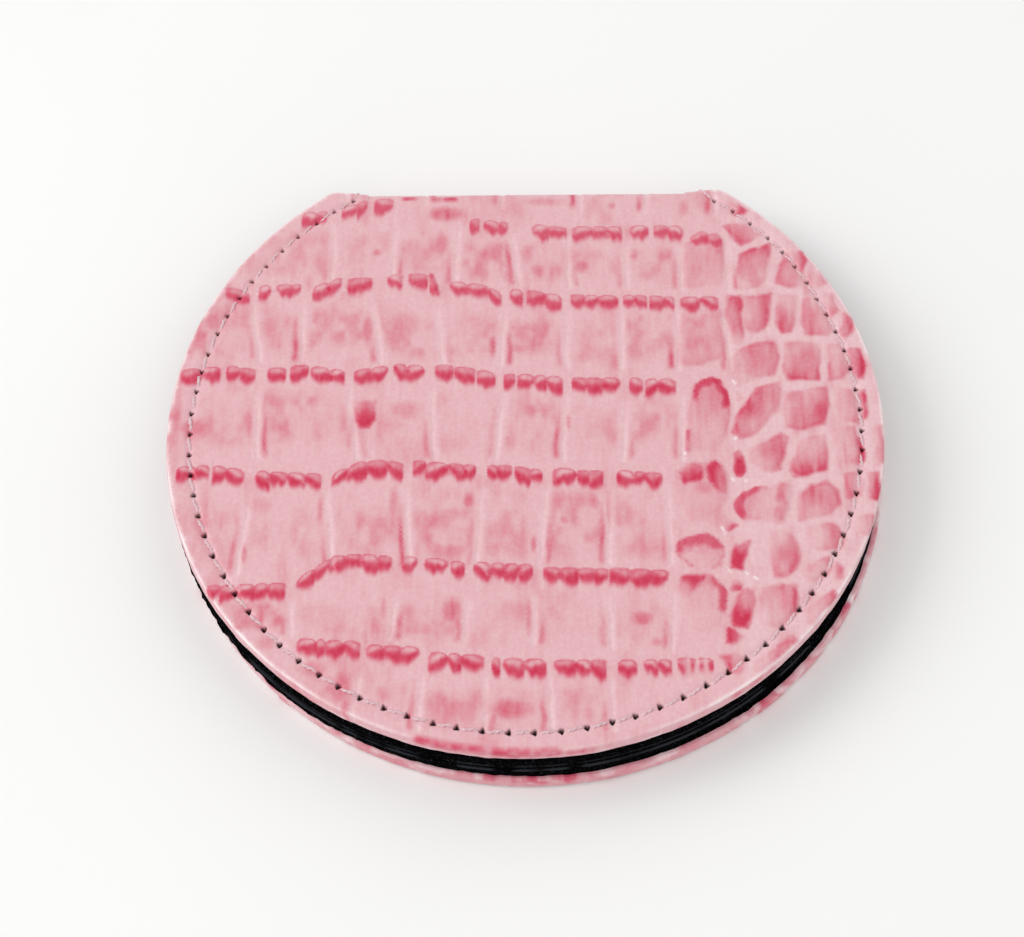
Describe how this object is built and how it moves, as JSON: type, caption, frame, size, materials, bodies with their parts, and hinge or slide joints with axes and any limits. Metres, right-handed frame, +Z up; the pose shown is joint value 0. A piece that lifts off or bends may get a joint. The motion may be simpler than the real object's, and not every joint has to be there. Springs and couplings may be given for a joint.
{
  "type": "compact mirror",
  "caption": "Round folding pocket mirror: croc-embossed leather leaves on a leather spine, black lining, a round mirror inside each leaf and a hidden magnetic closure.",
  "frame": {"origin": "centre of the round outline, on the underside of the closed case", "axes": "+Z up through the closed case, +Y to the spine, +X along the fold to the right seen from the front"},
  "size_m": [0.072, 0.0655, 0.0072],
  "materials": {
    "pink_leather": "glossy two-tone croc-embossed pink leather",
    "black_lining": "semi-gloss grained black leatherette",
    "board": "pressed grey board",
    "frame_board": "black-dyed pressed board",
    "tape": "thin white double-sided foam tape",
    "mirror_glass": "silvered glass with ground edges",
    "magnet": "nickel-plated magnet",
    "keeper_steel": "stamped mild steel",
    "pink_thread": "twisted polyester thread",
    "black_thread": "twisted polyester thread"
  },
  "bodies": {
    "base_leaf": {"base_leather": "pink_leather", "base_board": "board", "base_mirror_tape": "tape", "base_mirror": "mirror_glass", "base_frame": "frame_board", "base_lining": "black_lining", "base_keepers": "keeper_steel", "base_stitches": "pink_thread", "base_bobbin_stitches": "black_thread"},
    "spine": {"spine_leather": "pink_leather", "spine_lining": "black_lining"},
    "lid_leaf": {"lid_leather": "pink_leather", "lid_board": "board", "lid_mirror_tape": "tape", "lid_mirror": "mirror_glass", "lid_frame": "frame_board", "lid_lining": "black_lining", "lid_magnets": "magnet", "lid_stitches": "pink_thread", "lid_bobbin_stitches": "black_thread"}
  },
  "joints": [
    {"name": "spine_fold", "type": "hinge", "parent": "base_leaf", "child": "spine", "pos_m": [0, 0.02844, 0.0007], "axis": [-1, 0, 0], "range_deg": [0, 90]},
    {"name": "lid_fold", "type": "hinge", "parent": "spine", "child": "lid_leaf", "pos_m": [0, 0.02844, 0.00655], "axis": [-1, 0, 0], "range_deg": [0, 90]}
  ]
}
